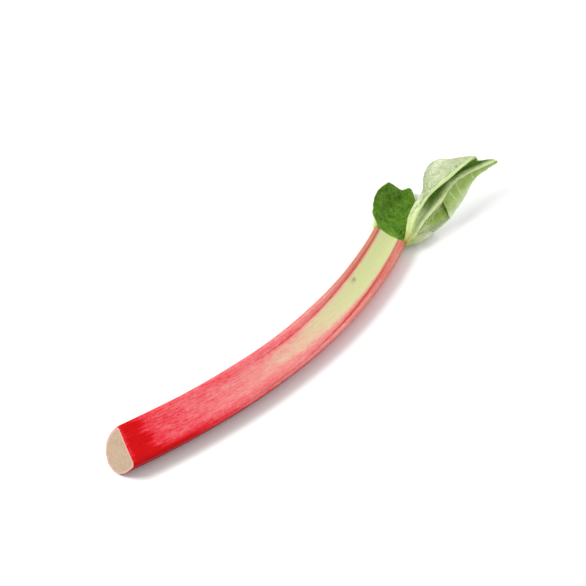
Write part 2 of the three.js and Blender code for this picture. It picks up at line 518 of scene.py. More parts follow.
class Weave:
    """A short way to write shader nodes for one material."""

    def __init__(self, name: str) -> None:
        """Starts a material with its shader and output.

        Args:
            name: the material's name.
        """
        self.material = bpy.data.materials.new(name)
        self.material.use_nodes = True
        self.tree = self.material.node_tree
        self.tree.nodes.clear()
        self.shader = self.tree.nodes.new("ShaderNodeBsdfPrincipled")
        output = self.tree.nodes.new("ShaderNodeOutputMaterial")
        self.tree.links.new(self.shader.outputs["BSDF"], output.inputs["Surface"])

    def link(self, value: object, socket: Socket) -> None:
        """Feeds a socket from another socket, or sets it.

        Args:
            value: the other socket, or the number, vector or colour to set.
            socket: what is fed.
        """
        if isinstance(value, bpy.types.NodeSocket):
            self.tree.links.new(value, socket)
        else:
            socket.default_value = value

    def stored(self, name: str, vector: bool = False) -> Socket:
        """Reads what paint stored.

        Args:
            name: the name it was stored by.
            vector: whether it is a vector.

        Returns:
            The stored values.
        """
        node = self.tree.nodes.new("ShaderNodeAttribute")
        node.attribute_name = name
        return node.outputs["Vector" if vector else "Fac"]

    def stretched(self, vector: Socket, scale: Triple) -> Socket:
        """Scales a vector for a pattern that is longer one way.

        Args:
            vector: the places of the pattern.
            scale: the factor along each axis.

        Returns:
            The scaled vector.
        """
        node = self.tree.nodes.new("ShaderNodeMapping")
        self.link(vector, node.inputs["Vector"])
        node.inputs["Scale"].default_value = scale
        return node.outputs["Vector"]

    def noise(self, vector: Socket, scale: float, detail: float = 3, rough: float = 0.55) -> Socket:
        """Makes a soft irregular pattern.

        Args:
            vector: the places of the pattern.
            scale: how many swells there are in a metre.
            detail: how many finer patterns lie over it.
            rough: how strong those are.

        Returns:
            The pattern, from 0 to 1.
        """
        node = self.tree.nodes.new("ShaderNodeTexNoise")
        self.link(vector, node.inputs["Vector"])
        node.inputs["Scale"].default_value = scale
        node.inputs["Detail"].default_value = detail
        node.inputs["Roughness"].default_value = rough
        return node.outputs["Fac"]

    def streaked(self, flow: Socket, streaks: Streaks) -> Socket:
        """The pattern of one kind of streaks."""
        places = self.stretched(flow, (1, 1, streaks.stretch))
        return self.noise(places, streaks.scale, streaks.detail, streaks.rough)

    def cells(self, vector: Socket, scale: float, edges: bool) -> Socket:
        """Makes a pattern of cells.

        Args:
            vector: the places of the pattern.
            scale: how many cells there are in a metre.
            edges: whether distance is to the cell's edge, and not to its middle.

        Returns:
            The distance to the nearest edge or middle.
        """
        node = self.tree.nodes.new("ShaderNodeTexVoronoi")
        node.feature = "DISTANCE_TO_EDGE" if edges else "F1"
        self.link(vector, node.inputs["Vector"])
        node.inputs["Scale"].default_value = scale
        return node.outputs["Distance"]

    def math(self, operation: str, *values: object) -> Socket:
        """Does one step of arithmetic.

        Args:
            operation: the name of the step.
            *values: the numbers or sockets that it takes.

        Returns:
            The result.
        """
        node = self.tree.nodes.new("ShaderNodeMath")
        node.operation = operation
        for socket, value in zip(node.inputs, values):
            self.link(value, socket)
        return node.outputs[0]

    def span(
        self, value: Socket, low: float, high: float, to: tuple[float, float] = (0.0, 1.0)
    ) -> Socket:
        """Maps low..high to another span, eased and held at its ends.

        Args:
            value: what is mapped.
            low: the value that becomes the first end.
            high: the value that becomes the last end.
            to: the two ends.

        Returns:
            The mapped value.
        """
        node = self.tree.nodes.new("ShaderNodeMapRange")
        node.interpolation_type = "SMOOTHSTEP"
        self.link(value, node.inputs["Value"])
        node.inputs["From Min"].default_value = low
        node.inputs["From Max"].default_value = high
        node.inputs["To Min"].default_value = to[0]
        node.inputs["To Max"].default_value = to[1]
        return node.outputs["Result"]

    def ramp(self, value: Socket, stops: Stops) -> Socket:
        """Lays colours along a scale.

        Args:
            value: the place on the scale.
            stops: places and the colours that they have.

        Returns:
            The colour at the place.
        """
        node = self.tree.nodes.new("ShaderNodeValToRGB")
        self.link(value, node.inputs["Fac"])
        ramp = node.color_ramp
        while len(ramp.elements) < len(stops):
            ramp.elements.new(1.0)
        for element, (at, code) in zip(ramp.elements, stops):
            element.position = at
            element.color = linear(code)
        return node.outputs["Color"]

    def blend(self, share: object, a: object, b: object) -> Socket:
        """Mixes two colours.

        Args:
            share: how much there is of the second.
            a: the first colour, a code or a socket.
            b: the second colour, a code or a socket.

        Returns:
            The mixed colour.
        """
        node = self.tree.nodes.new("ShaderNodeMix")
        node.data_type = "RGBA"
        sockets = [s for s in node.inputs if s.type == "RGBA"]
        self.link(share, node.inputs["Factor"])
        self.link(linear(a) if isinstance(a, str) else a, sockets[0])
        self.link(linear(b) if isinstance(b, str) else b, sockets[1])
        return next(s for s in node.outputs if s.type == "RGBA")

    def bump(self, height: Socket, depth: float, under: Socket | None = None) -> Socket:
        """Raises the surface by a height pattern.

        Args:
            height: the pattern.
            depth: its height in metres.
            under: the surface that it lies on, if another bump made it.

        Returns:
            The direction that the surface faces.
        """
        node = self.tree.nodes.new("ShaderNodeBump")
        self.link(height, node.inputs["Height"])
        node.inputs["Distance"].default_value = depth
        if under is not None:
            self.link(under, node.inputs["Normal"])
        return node.outputs["Normal"]

    def flesh(self, weight: float, radius: Triple, rough: object, specular: float) -> None:
        """Sets how light sinks in and glances off.

        Args:
            weight: how much of the light sinks in.
            radius: how far red, green and blue go, in metres.
            rough: how dull the surface is.
            specular: how strongly it glances off.
        """
        self.shader.inputs["Subsurface Weight"].default_value = weight
        self.shader.inputs["Subsurface Radius"].default_value = radius
        self.shader.inputs["Subsurface Scale"].default_value = 1.0
        self.shader.inputs["Specular IOR Level"].default_value = specular
        self.link(rough, self.shader.inputs["Roughness"])


@dataclass(frozen=True)
class SkinFinish:
    """Red skin over pale flesh: red at the cut, cream green on the upper face."""

    tones: Stops = (
        (0.00, "cad294"),
        (0.14, "d2ca9c"),
        (0.26, "dab69a"),
        (0.38, "e0948a"),
        (0.52, "e06e72"),
        (0.66, "d8303e"),
        (0.80, "c40004"),
        (0.92, "98020e"),
        (1.00, "6a020c"),
    )
    flesh_tones: Stops = ((0.25, "a8907a"), (0.55, "b29c84"), (0.8, "bca890"))
    freckle: str = "8a9a5c"
    tan: str = "ac6c48"
    scar: str = "42461e"
    strand_end: str = "a39a6c"
    rim: str = "dea89c"
    strands: Streaks = Streaks(0.06, 900, 4, 0.16)
    threads: Streaks = Streaks(0.03, 2600, 3, 0.16)
    patches: Streaks = Streaks(0.4, 110, 3, 0.22)
    flecks: Streaks = Streaks(0.26, 760, 2, 0.28, rough=0.6)
    specks: Streaks = Streaks(0.5, 1100, 3, 0.22, rough=0.65)
    gloss: tuple[float, float] = (0.34, 0.48)
    cut_dullness: float = 0.12
    specular: float = 0.11
    sunk_light: float = 0.15
    light_reach: Triple = (0.003, 0.0008, 0.0006)
    strand_relief: float = 0.00035
    thread_relief: float = 0.00012
    speck_relief: float = 0.00010

    def build(self) -> bpy.types.Material:
        """Makes the material for the stalk.

        Returns:
            The material.
        """
        w = Weave("stalk_skin")
        flow = w.stored("flow", vector=True)
        blush = w.stored("blush")
        kinds = (self.strands, self.threads, self.patches, self.flecks, self.specks)
        patterns = [w.streaked(flow, kind) for kind in kinds]
        strands, threads, _, _, specks = patterns
        mottle = 0.0
        for kind, pattern in zip(kinds, patterns):
            mottle = w.math("MULTIPLY_ADD", w.math("SUBTRACT", pattern, 0.5), kind.shift, mottle)
        lively = w.span(blush, 0.0, 0.3, (0.75, 1.0))
        lively = w.math("MULTIPLY", lively, w.span(blush, 0.68, 0.80, (1.0, 0.35)))
        toned = w.math("MULTIPLY_ADD", mottle, lively, blush)
        colour = w.ramp(toned, self.tones)
        on_cream = w.span(blush, 0.1, 0.4, (0.35, 0.0))
        freckle = w.math("MULTIPLY", w.span(specks, 0.62, 0.74), on_cream)
        colour = w.blend(freckle, colour, self.freckle)
        colour = w.blend(w.stored("tan"), colour, self.tan)
        colour = w.blend(w.stored("scar"), colour, self.scar)
        colour = w.blend(w.stored("cut"), colour, self.cut_tone(w, flow))
        w.link(colour, w.shader.inputs["Base Color"])
        gloss = w.span(specks, 0.3, 0.7, self.gloss)
        rough = w.math("MULTIPLY_ADD", w.stored("cut"), self.cut_dullness, gloss)
        w.flesh(self.sunk_light, self.light_reach, rough, self.specular)
        relief = w.bump(strands, self.strand_relief)
        relief = w.bump(threads, self.thread_relief, relief)
        relief = w.bump(specks, self.speck_relief, relief)
        w.link(relief, w.shader.inputs["Normal"])
        return w.material

    def cut_tone(self, w: Weave, flow: Socket) -> Socket:
        """Pale wet flesh with the ends of its strands, pinker under the skin.

        Args:
            w: the material's nodes.
            flow: places on the stalk.

        Returns:
            The colour of the cut face.
        """
        grain = w.ramp(w.noise(flow, 420, 4), self.flesh_tones)
        dots = w.span(w.cells(flow, 330, edges=False), 0.16, 0.34)
        grain = w.blend(w.span(dots, 0, 1, (0.22, 0.0)), grain, self.strand_end)
        return w.blend(w.math("MULTIPLY", w.stored("rim"), 0.8), grain, self.rim)


@dataclass(frozen=True)
class LeafFinish:
    """Leaf green: pale and grey below, deeper and glossier above, pale ribs."""

    above: Stops = ((0.3, "3a6802"), (0.5, "548606"), (0.7, "76a81e"))
    below: Stops = ((0.3, "aec084"), (0.5, "c2d09e"), (0.7, "dae4be"))
    ribs: Stops = ((0.3, "c2d488"), (0.7, "dae7b2"))
    net_above: str = "86ad42"
    vein_above: str = "a4c664"
    vein_below: str = "e6f0c8"
    # A richer yellow-green: the panel's and lappet's own tone, and painted shade in the slit beside
    # the lappet.
    lush_and_shade: str = "8cae34"
    # Painted shade: the dark olive laid into the valley between the upper and lower ribs, and beside
    # the ribs.
    fold_shade: str = "4c7400"
    # Near white: laid on the flap towards its edge, and painted light on the short rib's lobe.
    pale: str = "eef4d4"
    cut_edge: str = "b9cc7e"
    young: str = "a4b838"
    tan: str = "a84c34"
    rough_above: float = 0.42
    rough_below: float = 0.62
    specular: float = 0.10
    sunk_light: float = 0.15
    light_reach: Triple = (0.0010, 0.0016, 0.0004)
    net_relief: float = 0.00035
    grain_relief: float = 0.00008

    def build(self) -> bpy.types.Material:
        """Makes the material for the leaf.

        Returns:
            The material.
        """
        w = Weave("leaf_green")
        flow = w.stored("flow", vector=True)
        drift = w.noise(flow, 90)
        net = self.strayed(w, flow)
        coarse = w.span(w.cells(net, 150, edges=True), 0.0, 0.16, (1.0, 0.0))
        fine = w.span(w.cells(net, 420, edges=True), 0.0, 0.14, (1.0, 0.0))
        under = w.stored("under")
        base = w.blend(under, w.ramp(drift, self.above), w.ramp(drift, self.below))
        veined = w.math("MULTIPLY", w.math("MULTIPLY_ADD", fine, 0.35, coarse), 0.42)
        base = w.blend(veined, base, w.blend(under, self.net_above, self.vein_below))
        # The richer yellow-green is the panel's and lappet's own tone, and painted shade in the slit
        # beside the lappet.
        base = w.blend(w.stored("lush_and_shade"), base, self.lush_and_shade)
        # Painted shade: darkens the valley between the upper and lower ribs, the lines beside the ribs
        # and the lappet along the lower rib.
        base = w.blend(w.stored("fold_shade"), base, self.fold_shade)
        base = w.blend(w.stored("vein"), base, w.blend(under, self.vein_above, self.vein_below))
        lengthwise = w.noise(w.stretched(flow, (1, 0.08, 1)), 700)
        base = w.blend(w.stored("rib"), base, w.ramp(lengthwise, self.ribs))
        # Painted light on the short rib's lobe, and paler towards the flap's edge.
        base = w.blend(w.stored("pale"), base, self.pale)
        base = w.blend(w.stored("cut_edge"), base, self.cut_edge)
        base = w.blend(w.stored("young"), base, self.young)
        base = w.blend(w.stored("tan"), base, self.tan)
        w.link(base, w.shader.inputs["Base Color"])
        duller = self.rough_below - self.rough_above
        rough = w.math("MULTIPLY_ADD", under, duller, self.rough_above)
        w.flesh(self.sunk_light, self.light_reach, rough, self.specular)
        relief = w.bump(w.math("MULTIPLY_ADD", fine, 0.4, coarse), self.net_relief)
        relief = w.bump(w.noise(flow, 900), self.grain_relief, relief)
        w.link(relief, w.shader.inputs["Normal"])
        return w.material

    @staticmethod
    def strayed(w: Weave, flow: Socket) -> Socket:
        """Shifts places a few millimetres about, so that the net of veins isn't regular.

        Args:
            w: the material's nodes.
            flow: places on the leaf.

        Returns:
            The shifted places.
        """
        stray = w.tree.nodes.new("ShaderNodeTexNoise")
        w.link(flow, stray.inputs["Vector"])
        stray.inputs["Scale"].default_value = 160
        shifted = w.tree.nodes.new("ShaderNodeVectorMath")
        shifted.operation = "MULTIPLY_ADD"
        w.link(stray.outputs["Color"], shifted.inputs[0])
        shifted.inputs[1].default_value = (0.004,) * 3
        w.link(flow, shifted.inputs[2])
        return shifted.outputs[0]


@dataclass(frozen=True)
class TableFinish:
    """Plain pale paper."""

    tone: str = "fafafa"
    rough: float = 0.9
    specular: float = 0.1

    def build(self) -> bpy.types.Material:
        """Makes the table's material.

        Returns:
            The material.
        """
        w = Weave("table_paper")
        w.link(linear(self.tone), w.shader.inputs["Base Color"])
        w.flesh(0.0, (0.001,) * 3, self.rough, self.specular)
        return w.material


# ---------- stalk ----------
@dataclass(frozen=True)
class SkinTones:
    """How the colours of the skin run over the stalk.

    Each table's rows start with a share of the length from the cut. The rows of face
    go on with how red the face is in the middle, on the left and on the right, and with
    how far from the middle line the pale band reaches.
    """

    face: Rows = (
        (0.00, 0.66, 0.70, 0.86, 0.50),
        (0.05, 0.66, 0.70, 0.88, 0.50),
        (0.10, 0.62, 0.62, 0.88, 0.50),
        (0.15, 0.58, 0.59, 0.82, 0.50),
        (0.20, 0.55, 0.57, 0.72, 0.50),
        (0.30, 0.47, 0.56, 0.59, 0.46),
        (0.40, 0.40, 0.53, 0.51, 0.40),
        (0.50, 0.32, 0.51, 0.47, 0.38),
        (0.60, 0.18, 0.50, 0.47, 0.42),
        (0.70, 0.11, 0.50, 0.48, 0.45),
        (0.80, 0.04, 0.50, 0.48, 0.48),
        (1.00, 0.00, 0.46, 0.47, 0.53),
    )
    middle_line: Rows = ((0.1, 0.20), (0.3, 0.14), (0.5, 0.02), (0.65, -0.02), (1.0, -0.10))
    softness: Rows = ((0.2, 0.34), (0.4, 0.32), (0.6, 0.28), (1.0, 0.24))
    # How much redder the line inside each margin is: partly its own darker line, partly painted shade
    # in the groove.
    groove_tone: Rows = ((0.3, 0.14), (0.5, 0.16), (0.75, 0.24))
    # How red the back is: its own deep red, made darker still towards the cut as painted shade.
    back: Rows = ((0.0, 0.96), (0.3, 0.93), (0.5, 0.87), (0.7, 0.76), (0.9, 0.64), (1.0, 0.50))
    # Painted light: how much paler the margins' crests are, as if lit along their tops.
    crest_highlight: float = 0.12
    red_end: float = 0.061
    red_end_slant: float = 0.010
    red_end_fringe: float = 0.010
    red_end_tone: float = 0.81
    lip_tone: float = 0.62

    def blush(self, share: Array, depth: Array, along: Array) -> Array:
        """How red the skin is, from 0, cream green, to 1, dark red.

        Args:
            share: place across, -1 at the left margin to 1 at the right.
            depth: 0 at the face to 1 at the back.
            along: share of the way from the cut to the leaf.

        Returns:
            The redness of each point.
        """
        middle, left, right, reach = read_rows(self.face, along)
        (middle_line,) = read_rows(self.middle_line, along)
        (soft,) = read_rows(self.softness, along)
        (deep,) = read_rows(self.groove_tone, along)
        (back,) = read_rows(self.back, along)
        off = np.abs(share - middle_line)
        margin = np.where(share < middle_line, left, right)
        face = mix(middle, margin, smooth((off - reach) / soft, -0.5, 1.0))
        grown = np.where(share > 0, smooth(along, 0.20, 0.40), smooth(along, 0.32, 0.60))
        # The line inside each margin is painted redder, partly as shade in the groove.
        face = face + grown * deep * groove(share, along, 0.055)
        # Painted light: the margins' crests are painted paler.
        face = face - grown * self.crest_highlight * hump(np.abs(share), CREST, 0.07)
        return mix(self.cut_end(face, share, along), back, smooth(depth, 0.06, 0.22))

    def cut_end(self, face: Array, share: Array, along: Array) -> Array:
        """Reddens the face near the cut, up to a ragged border, all but its very lip.

        Args:
            face: how red the face is without it.
            share: place across, -1 at the left margin to 1 at the right.
            along: share of the way from the cut to the leaf.

        Returns:
            The redness of each point.
        """
        ragged = 0.010 * np.sin(9 * share + 1) + 0.006 * np.sin(31 * share)
        ragged = ragged + 0.004 * np.sin(67 * share + 2)
        border = self.red_end + self.red_end_slant * share + ragged
        near = 1 - smooth((along - border) / self.red_end_fringe, -1, 1)
        face = np.maximum(face, mix(face, self.red_end_tone, near))
        lip = 0.6 * (1 - smooth(along, 0.002, 0.009)) * (share < 0.6)
        return mix(face, self.lip_tone, lip)

    def tan(self, share: Array, depth: Array, along: Array) -> Array:
        """Where the skin browns towards the foot of the leaf.

        Args:
            share: place across, -1 at the left margin to 1 at the right.
            depth: 0 at the face to 1 at the back.
            along: share of the way from the cut to the leaf.

        Returns:
            How brown each point is, from 0 to 0.9.
        """
        on_face = depth < 0.2
        back = 0.55 * smooth(along, 0.90, 1.0) * smooth(depth, 0.04, 0.35)
        left = 0.56 * smooth(along, 0.55, 0.90) * smooth(-share, 0.50, 0.85)
        right = 0.34 * smooth(along, 0.60, 0.90) * smooth(share, 0.38, 0.58)
        line = 0.30 * smooth(along, 0.45, 0.65) * groove(share, along, 0.06) * on_face
        edge = 0.35 * hump(along, 0.38, 0.08) * hump(share, CREST, 0.06) * on_face
        foot = 0.5 * smooth(along, 0.96, 1.0) * smooth(share, 0.6, 0.9)
        return np.clip(np.maximum(back, left + right + line + edge) + foot, 0, 0.9)


@dataclass
class Stalk:
    """The fleshy leaf stalk, from its slanting cut to the foot of the leaf."""

    lie: Lie
    tones: SkinTones = SkinTones()
    sides: int = 152
    rings: int = 420
    cut_slant: float = 0.62
    cut_skew: float = -0.10
    slant_reach: float = 0.12
    cut_bulge: float = 0.5
    cut_rounding: float = 0.012
    rounding_reach: float = 0.004
    core_depth: float = 0.45
    scar_share: float = -0.35
    scar_along: float = 0.788
    scar_radius: float = 1.7
    scar_half_face: float = 16.0
    near_cap: tuple[float, ...] = (
        0.992, 0.98, 0.965, 0.945, 0.92, 0.88, 0.83, 0.77, 0.70, 0.62, 0.53, 0.43, 0.32, 0.2, 0.09,
    )

    def build(self, material: bpy.types.Material) -> Piece:
        """Makes the stalk, shapes it and gives it its skin.

        Args:
            material: the skin's finish.

        Returns:
            The finished piece.
        """
        stalk = Blank.ringed_bar("stalk_skin", self.sides, self.rings, self.near_cap)
        along, x, y, reach = self.section_places(vertices_of(stalk))
        near = along < 1e-6
        slide = (self.cut_skew * x + self.cut_slant * y) / self.lie.length
        shift = slide * np.clip(1 - along / self.slant_reach, 0, 1) ** 2
        bulge = np.where(near, self.cut_bulge * (1 - reach**3) / self.lie.length, 0)
        move_vertices(stalk, self.lie.place(along + shift - bulge, x, y) * MM)
        self.tint(stalk, along + shift, x, y, reach, near)
        finish_surface(stalk, material)
        return stalk

    def section_places(self, blank: Array) -> tuple[Array, Array, Array, Array]:
        """Reads where each vertex of the bar belongs in the section.

        Args:
            blank: the bar's vertices.

        Returns:
            Share along, distance across, height, and reach from middle to rim.
        """
        section = self.lie.section
        along = np.clip(blank[:, 2], 0, 1)
        reach = np.minimum(np.hypot(blank[:, 0], blank[:, 1]), 1)
        angle = np.arctan2(blank[:, 1], blank[:, 0]) % (2 * math.pi)
        x, y = section.outline(self.even_round(angle), along)
        middle = -self.core_depth * section.thickness(along)
        inset = self.cut_rounding * (1 - along / self.rounding_reach)
        rounded = np.where(along < self.rounding_reach, 1 - inset, 1)
        return along, x * reach * rounded, middle + (y - middle) * reach * rounded, reach

    def even_round(self, angle: Array) -> Array:
        """Spreads the ring's vertices evenly round the D, which is flat on one side.

        Args:
            angle: even angles round the bar.

        Returns:
            Angles that are evenly apart on the section's outline, halfway along.
        """
        turn = np.linspace(0, 2 * math.pi, 721)
        x, y = self.lie.section.outline(turn, np.full_like(turn, 0.5))
        length = np.concatenate([[0], np.cumsum(np.hypot(np.diff(x), np.diff(y)))])
        return np.interp(angle / (2 * math.pi) * length[-1], length, turn)

    def tint(
        self, stalk: Piece, along: Array, x: Array, y: Array, reach: Array, near: Array
    ) -> None:
        """Stores where the skin is red, cream, tan, cut or marked.

        Args:
            stalk: the shaped bar.
            along: share of the way from the cut to the leaf.
            x: distance across.
            y: height out of the face.
            reach: share of the way from the section's middle to its rim.
            near: which vertices are on the cut end.
        """
        share = x / (self.lie.section.width(along) / 2)
        depth = -y / self.lie.section.thickness(along)
        paint(stalk, "flow", np.stack([x, y, along * self.lie.length], 1) * MM)
        paint(stalk, "blush", self.tones.blush(share, depth, along))
        paint(stalk, "tan", self.tones.tan(share, depth, along))
        paint(stalk, "cut", np.where(near, smooth(1 - reach, 0.006, 0.02), 0))
        paint(stalk, "rim", np.where(near, smooth(reach, 0.86, 0.985), 0))
        off_across = (share - self.scar_share) * self.scar_half_face
        off_along = (along - self.scar_along) * self.lie.length
        off = np.hypot(off_across, off_along)
        paint(stalk, "scar", hump(off, 0, self.scar_radius) * (depth < 0.2))


# ---------- leaf ----------
class Line(Enum):
    """The leaf's lengthwise lines, in order from the right margin to the left."""

    RIGHT_MARGIN = 0
    RIGHT_FLAP = 1
    UPPER_RIB = 2
    VALLEY = 3
    LOWER_RIB = 4
    PANEL = 5
    CREASE = 6
    LOBE = 7
    SHORT_RIB = 8
    RIGHT_FLOOR = 9
    MIDRIB = 10
    LEFT_FLOOR = 11
    LEFT_RIB = 12
    LEFT_MARGIN = 13


# Forward, right and up from the stalk's end, from the root to the trimmed edge.
LEAF_LINES: dict[Line, Points] = {
    Line.RIGHT_MARGIN: ((0, 12, 16.5), (25, 9, 28), (40, 15, 43), (54, 12, 52), (76, 13, 54)),
    Line.RIGHT_FLAP: ((0, 13.2, 15.6), (22, 11.5, 27), (37, 17, 39.5), (57, 18, 47.5), (84, 27.5, 52)),
    Line.UPPER_RIB: ((0, 14.2, 14.6), (22, 14, 26.5), (43, 19, 39), (72, 33, 44), (108, 45.5, 42)),
    Line.VALLEY: ((0, 14.6, 13.2), (23, 16, 23), (45, 18, 32.5), (74, 28, 37.5), (112, 51, 36)),
    Line.LOWER_RIB: ((0, 14.6, 11.8), (26, 22, 20), (50, 30.5, 28.5), (77, 37, 34.5), (120, 64, 32)),
    Line.PANEL: ((0, 14.2, 10.4), (17, 19.5, 16.5), (34, 26, 21), (50, 31, 23.5), (66, 36, 25)),
    Line.CREASE: ((0, 13, 9.2), (12, 18, 13), (24, 22.5, 15), (37, 30, 16), (52, 38, 17)),
    Line.LOBE: ((0, 11, 9.4), (14, 19, 10.5), (26, 25, 10), (38, 32.5, 9.7), (50, 40, 9.5)),
    Line.SHORT_RIB: ((0, 8, 11.5), (9, 14, 9.5), (16, 18.5, 8), (23, 23.5, 7), (30, 28, 6.5)),
    Line.RIGHT_FLOOR: ((0, 4, 16), (14, 7, 11), (30, 9, 7.5), (46, 9, 6), (60, 8, 5.5)),
    Line.MIDRIB: ((0, -2, 19.2), (20, -2, 12.5), (40, -3, 9), (60, -4.5, 8), (80, -6, 8)),
    Line.LEFT_FLOOR: ((0, -8, 21.4), (17, -10, 15), (34, -13, 12), (52, -14, 12), (70, -13, 14)),
    Line.LEFT_RIB: ((0, -12, 23), (15, -16.5, 20), (30, -20, 20), (46, -21.5, 22.5), (62, -20, 26)),
    Line.LEFT_MARGIN: ((0, -14.5, 24), (10, -20, 26), (22, -25, 29), (38, -26.5, 31), (55, -22, 32)),
}

# Where each line leaves the stalk: its share of the face, and its angle on the back,
# in degrees, below 0 where it leaves the margin's crest.
SEATS: tuple[tuple[float, float], ...] = (
    (0.78, -34), (0.74, -20), (0.70, -3), (0.66, 3), (0.62, 8), (0.58, 13), (0.54, 20),
    (0.50, 31), (0.42, 50), (0.20, 78), (-0.10, 98), (-0.45, 122), (-0.75, 150), (-0.93, 184),
)

LAPPET_LINES: tuple[Points, ...] = (
    ((52, 31, 29), (66, 32, 32.5), (77, 37, 34.5), (98, 50, 34), (120, 64, 32)),
    ((49, 37, 21), (62, 40, 25), (74, 43.5, 27.5), (94, 51.5, 31), (119.5, 64.5, 31)),
    ((48, 41, 12), (60, 45, 17.5), (72, 48, 21.5), (92, 51.5, 28.5), (119, 64.5, 30)),
)


@dataclass(frozen=True)
class Rib:
    """A rib under the blade, with its size at the root and at the trimmed edge.

    Its place is counted in lines from the right margin. It swells out of the
    blade's underside, or along its own lean, and a short one ends at its reach.
    """

    place: float
    depth: tuple[float, float]
    half_width: tuple[float, float]
    lean: Triple | None = None
    reach: float | None = None


@dataclass(frozen=True)
class Vein:
    """A side vein that leaves a line and runs out over the blade.

    Reach is how many lines it crosses, towards the left margin if positive, and
    slope is how far it runs on towards the edge for each line.
    """

    line: float
    start: float
    reach: float
    slope: float
    bow: float = 0.0
    half_width: float = 0.55


# The third is the short rib, which swells between the lobe and its own line.
RIBS: tuple[Rib, ...] = (
    Rib(Line.UPPER_RIB.value, (4.2, 2.2), (3.6, 2.2)),
    Rib(Line.LOWER_RIB.value, (3.2, 2.0), (4.0, 1.8)),
    Rib(7.5, (10.0, 6.0), (6.0, 5.6), lean=(0.0, 0.85, -0.1), reach=30.0),
    Rib(Line.MIDRIB.value, (17.0, 5.6), (8.4, 3.0)),
    Rib(Line.LEFT_RIB.value, (10.0, 2.2), (5.2, 1.6)),
)

VEINS: tuple[Vein, ...] = (
    Vein(Line.UPPER_RIB.value, 0.36, -2.0, 0.02, 0.03, 0.90),
    Vein(Line.UPPER_RIB.value, 0.52, -2.0, 0.06, 0.03, 0.95),
    Vein(Line.UPPER_RIB.value, 0.68, -2.0, 0.07, 0.02, 0.80),
    Vein(Line.UPPER_RIB.value, 0.82, -2.0, 0.05, 0.02, 0.60),
    Vein(Line.LOWER_RIB.value, 0.30, 2.6, 0.10, 0.02, 0.55),
    Vein(Line.LOWER_RIB.value, 0.46, 2.4, 0.10, 0.02, 0.50),
    Vein(Line.LOWER_RIB.value, 0.62, 2.0, 0.08, 0.02, 0.45),
    Vein(Line.MIDRIB.value, 0.30, 2.0, 0.10, 0.02, 0.80),
    Vein(Line.MIDRIB.value, 0.48, 2.0, 0.10, 0.02, 0.70),
    Vein(Line.MIDRIB.value, 0.66, 2.0, 0.08, 0.02, 0.60),
    Vein(Line.MIDRIB.value, 0.36, -2.0, 0.10, 0.02, 0.75),
    Vein(Line.MIDRIB.value, 0.56, -2.2, 0.10, 0.02, 0.65),
    Vein(Line.MIDRIB.value, 0.76, -2.0, 0.08, 0.02, 0.55),
    Vein(Line.LEFT_RIB.value, 0.40, 1.0, 0.14, 0.02, 0.50),
    Vein(Line.LEFT_RIB.value, 0.64, 1.0, 0.14, 0.02, 0.45),
)

LAPPET_VEINS: tuple[Vein, ...] = (
    Vein(0.0, 0.24, 1.7, -0.05, 0.06, 0.9),
    Vein(0.0, 0.47, 1.7, -0.05, 0.02, 0.9),
    Vein(0.0, 0.70, 1.7, -0.05, 0.05, 0.9),
)


